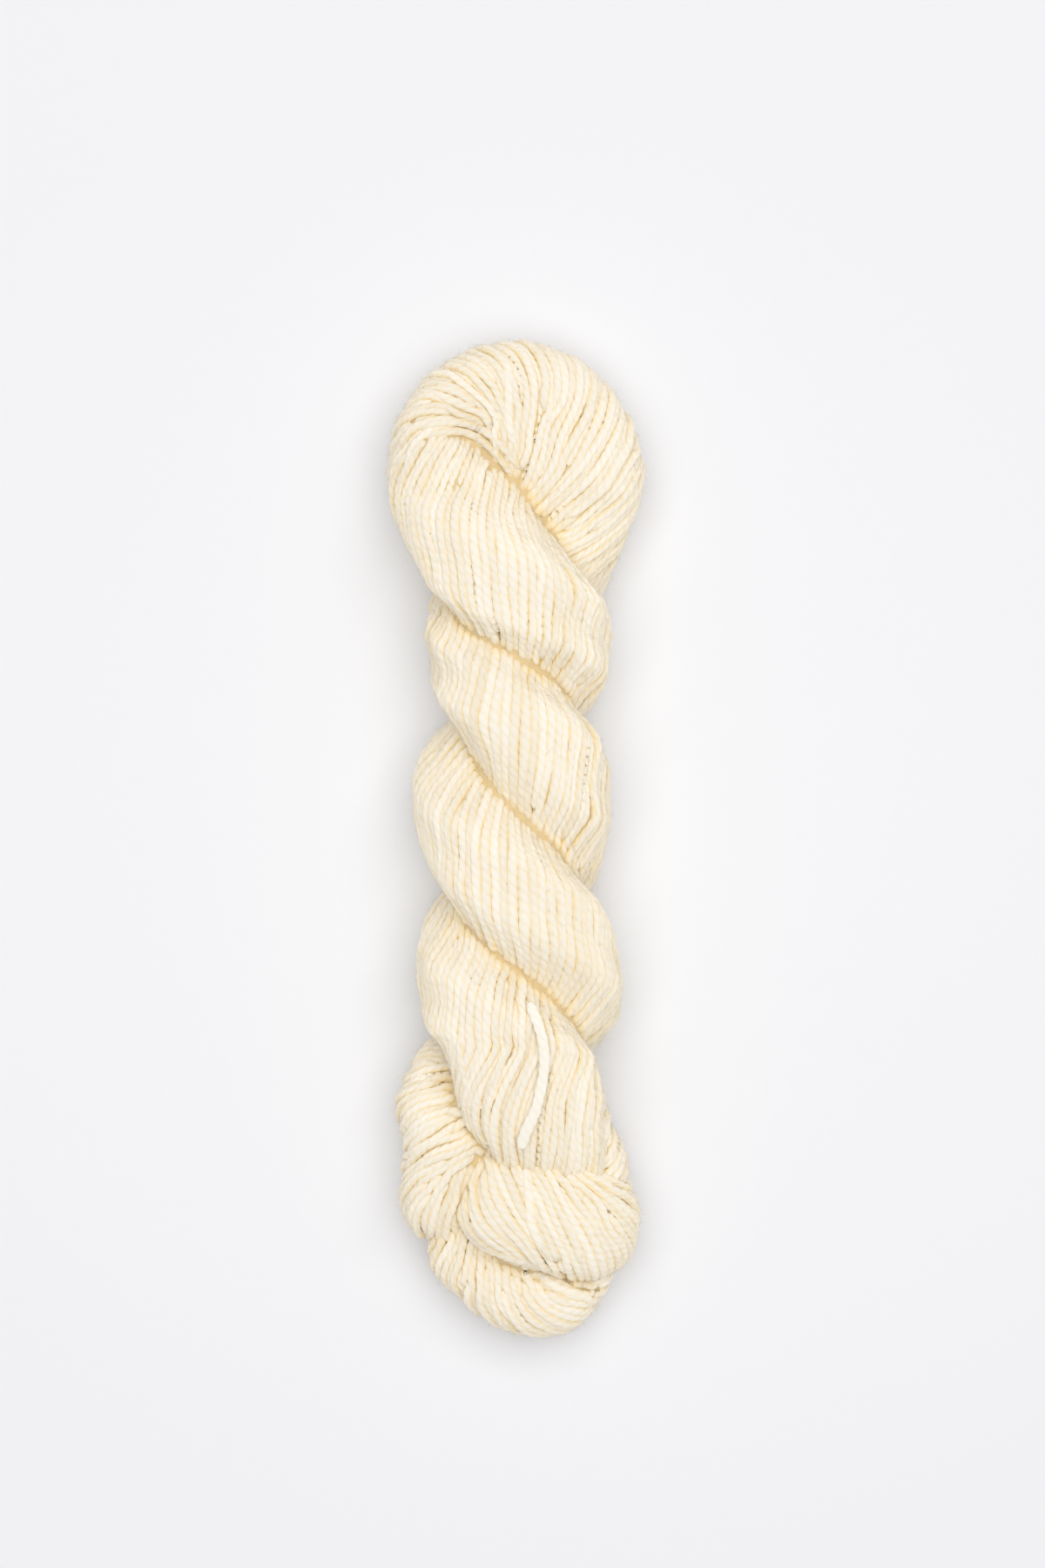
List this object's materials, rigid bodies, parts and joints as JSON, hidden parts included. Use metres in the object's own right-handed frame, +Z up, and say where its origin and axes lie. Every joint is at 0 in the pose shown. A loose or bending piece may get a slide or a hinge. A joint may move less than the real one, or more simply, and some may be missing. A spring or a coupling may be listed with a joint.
{
  "type": "yarn hank",
  "caption": "Twisted hank of thick plied wool yarn, folded and tucked into itself, lying flat, with a loose end on top.",
  "frame": {"origin": "middle of the hank's box, on the surface that it lies on", "axes": "+Y along the hank towards its folded end, +Z up, away from the surface, +X to the right seen from above"},
  "size_m": [0.0687, 0.2694, 0.0547],
  "materials": {
    "wool": "matt undyed wool with a soft halo of fibres",
    "loose_wool": "matt undyed wool, paler and a little thicker"
  },
  "bodies": {
    "root": {"hank": "wool", "tie_end": "loose_wool"}
  },
  "joints": []
}
